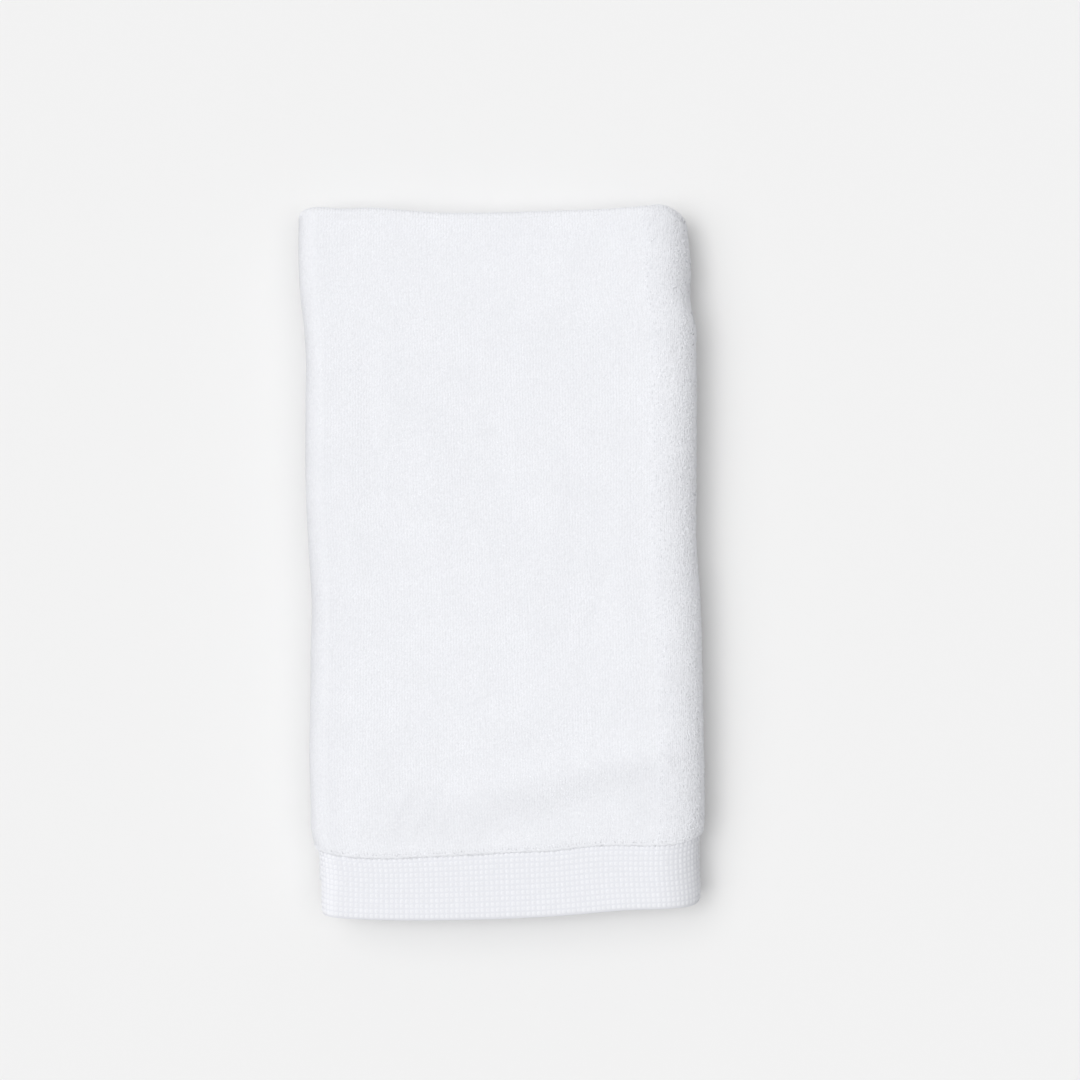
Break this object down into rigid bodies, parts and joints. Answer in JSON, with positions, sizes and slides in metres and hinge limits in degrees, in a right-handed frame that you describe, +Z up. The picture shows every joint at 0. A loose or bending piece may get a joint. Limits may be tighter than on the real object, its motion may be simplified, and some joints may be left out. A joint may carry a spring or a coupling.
{
  "type": "bath towel",
  "caption": "White looped cotton bath towel with a raised square-grid woven border, folded in thirds both ways and lying flat.",
  "frame": {"origin": "on the resting plane, under the middle of the towel's box", "axes": "+Y along the towel from the border's hem at the front to the folded end, +Z up from the resting face"},
  "size_m": [0.2804, 0.5044, 0.0485],
  "materials": {
    "white_cotton_terry": "matt white looped cotton, with a flat woven border"
  },
  "bodies": {
    "root": {"bath_towel": "white_cotton_terry"}
  },
  "joints": []
}
